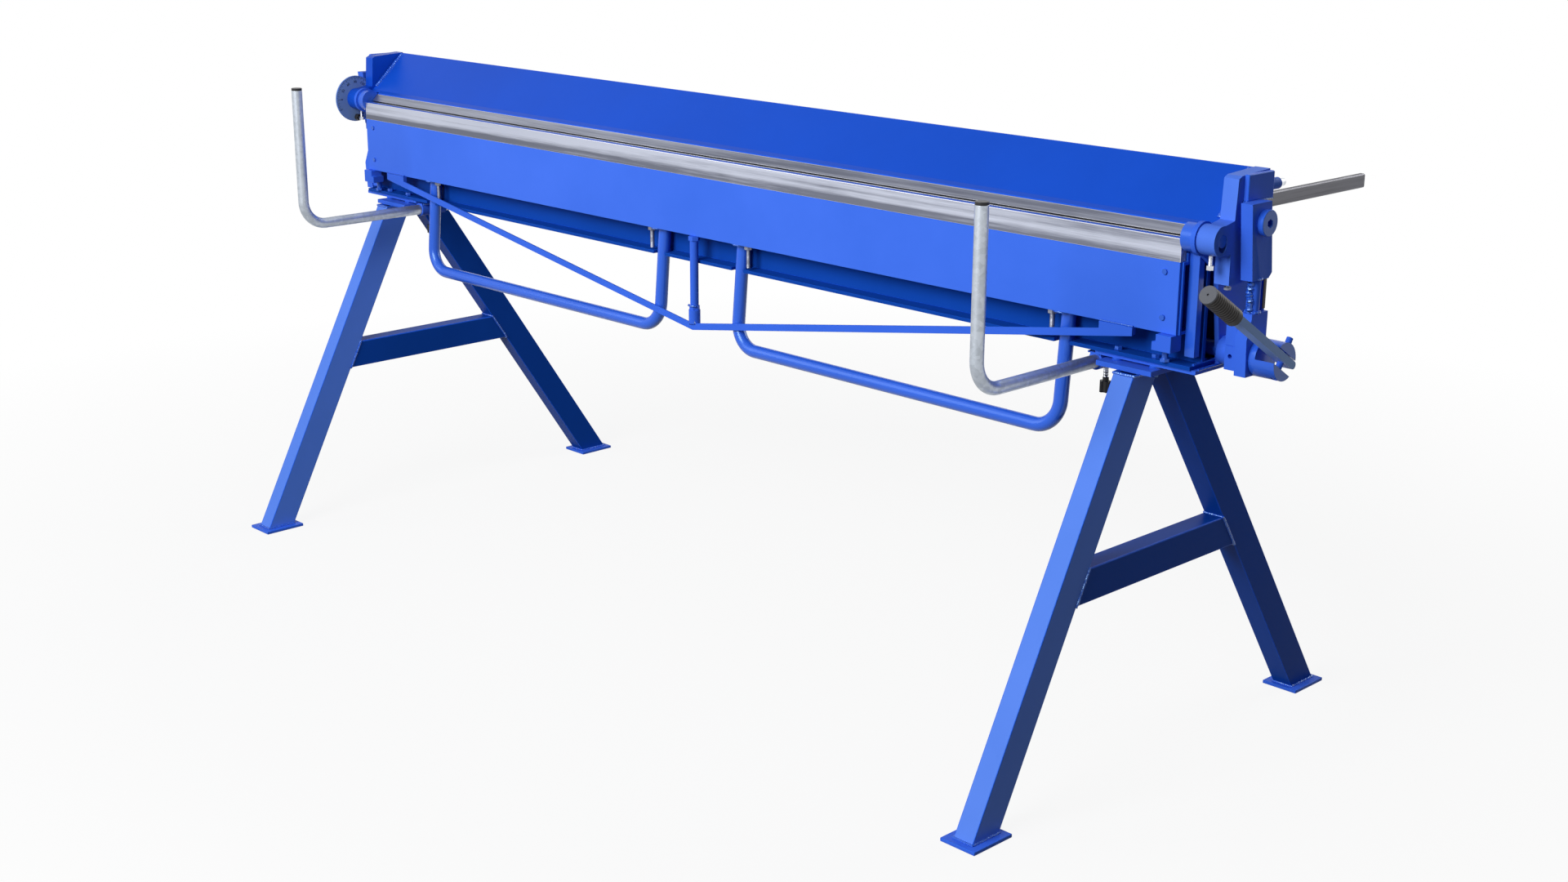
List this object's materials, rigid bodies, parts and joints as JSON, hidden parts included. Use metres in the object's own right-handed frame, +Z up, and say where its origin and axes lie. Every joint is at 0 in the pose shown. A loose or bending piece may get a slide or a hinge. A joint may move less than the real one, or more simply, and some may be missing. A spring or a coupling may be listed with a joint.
{
  "type": "manual sheet metal brake",
  "caption": "Blue manual sheet metal brake on two trestles, with a clamping beam worked by a side lever and a swinging bending beam with tube handles.",
  "frame": {"origin": "on the floor, under the middle of the outline's box", "axes": "+X along the bend line towards the clamping lever, +Y from the operator to the back, +Z up"},
  "size_m": [2.4031, 1.131, 0.987],
  "materials": {
    "painted_blue": "gloss",
    "bright_steel": "ground",
    "galvanised_steel": "galvanised",
    "grip_rubber": "ribbed",
    "cap_plastic": "matt",
    "black_plastic": "matt"
  },
  "bodies": {
    "frame": {"front_legs": "painted_blue", "rear_legs": "painted_blue", "leg_feet": "painted_blue", "leg_braces": "painted_blue", "leg_heads": "painted_blue", "head_spacers": "bright_steel", "base_plates": "painted_blue", "hold_down_bolts": "painted_blue", "corner_bolts": "painted_blue", "beam_flange": "painted_blue", "beam_web": "painted_blue", "beam_top_plate": "painted_blue", "beam_rear_plate": "painted_blue", "beam_ribs": "painted_blue", "lower_blade": "bright_steel", "left_end_plate": "painted_blue", "right_end_plate": "painted_blue", "shaft_bearings": "painted_blue", "arm_sleeves": "painted_blue", "rear_sleeves": "painted_blue"},
    "clamp_beam": {"upper_beam": "painted_blue", "upper_blade": "bright_steel", "left_cheek": "painted_blue", "right_cheek": "painted_blue", "end_blocks": "painted_blue", "stub_screws": "bright_steel", "left_link": "painted_blue", "right_link": "painted_blue", "link_bolts": "painted_blue", "gap_screws": "bright_steel", "tail_screws": "bright_steel"},
    "clamp_shaft": {"clamp_shaft": "painted_blue", "lever_bar": "galvanised_steel", "lever_grip": "grip_rubber", "grip_cap": "cap_plastic", "lever_pin": "painted_blue"},
    "bending_beam": {"face_plate": "painted_blue", "bending_blade": "bright_steel", "bending_box": "painted_blue", "left_end_arm": "painted_blue", "right_end_arm": "painted_blue", "hinge_pins": "painted_blue", "left_handle": "painted_blue", "right_handle": "painted_blue", "truss_bars": "painted_blue", "truss_post": "galvanised_steel", "corner_blocks": "painted_blue", "face_screws": "painted_blue", "adjusting_screws": "bright_steel", "rest_bolts": "bright_steel", "angle_dial": "painted_blue"},
    "dial_knob": {"dial_knob": "black_plastic"},
    "left_arm": {"left_arm": "galvanised_steel", "left_arm_plug": "black_plastic"},
    "right_arm": {"right_arm": "galvanised_steel", "right_arm_plug": "black_plastic"},
    "left_arm_knob": {"left_arm_knob": "black_plastic"},
    "right_arm_knob": {"right_arm_knob": "black_plastic"},
    "left_rear_bar": {"left_rear_bar": "galvanised_steel"},
    "right_rear_bar": {"right_rear_bar": "galvanised_steel"}
  },
  "joints": [
    {"name": "bending_hinge", "type": "hinge", "parent": "frame", "child": "bending_beam", "pos_m": [-0.02145, -0.1755, 0.891], "axis": [-1, 0, 0], "range_deg": [0, 120]},
    {"name": "clamp_lever", "type": "hinge", "parent": "frame", "child": "clamp_shaft", "pos_m": [-0.02145, -0.1055, 0.712], "axis": [-1, 0, 0], "range_deg": [0, 90]},
    {"name": "clamp_lift", "type": "slide", "parent": "frame", "child": "clamp_beam", "axis": [0, 0, 1], "range_m": [0, 0.007]},
    {"name": "dial_knob_turn", "type": "hinge", "parent": "bending_beam", "child": "dial_knob", "pos_m": [-1.15745, -0.1755, 0.85], "axis": [-1, 0, 0], "range_deg": [-360, 0]},
    {"name": "left_arm_slide", "type": "slide", "parent": "frame", "child": "left_arm", "axis": [0, 1, 0], "range_m": [-0.04, 0.08]},
    {"name": "right_arm_slide", "type": "slide", "parent": "frame", "child": "right_arm", "axis": [0, 1, 0], "range_m": [-0.04, 0.08]},
    {"name": "left_knob_turn", "type": "hinge", "parent": "frame", "child": "left_arm_knob", "pos_m": [-0.94045, -0.1415, 0.631], "axis": [0, 0, 1], "range_deg": [-720, 0]},
    {"name": "right_knob_turn", "type": "hinge", "parent": "frame", "child": "right_arm_knob", "pos_m": [0.89755, -0.1415, 0.631], "axis": [0, 0, 1], "range_deg": [-720, 0]},
    {"name": "left_rear_bar_slide", "type": "slide", "parent": "frame", "child": "left_rear_bar", "axis": [0, 1, 0], "range_m": [0, 0.1]},
    {"name": "right_rear_bar_slide", "type": "slide", "parent": "frame", "child": "right_rear_bar", "axis": [0, 1, 0], "range_m": [-0.1, 0]}
  ],
  "couplings": [
    {"joint": "clamp_lever", "follows": "clamp_lift", "rad_per_m": 224.4}
  ]
}
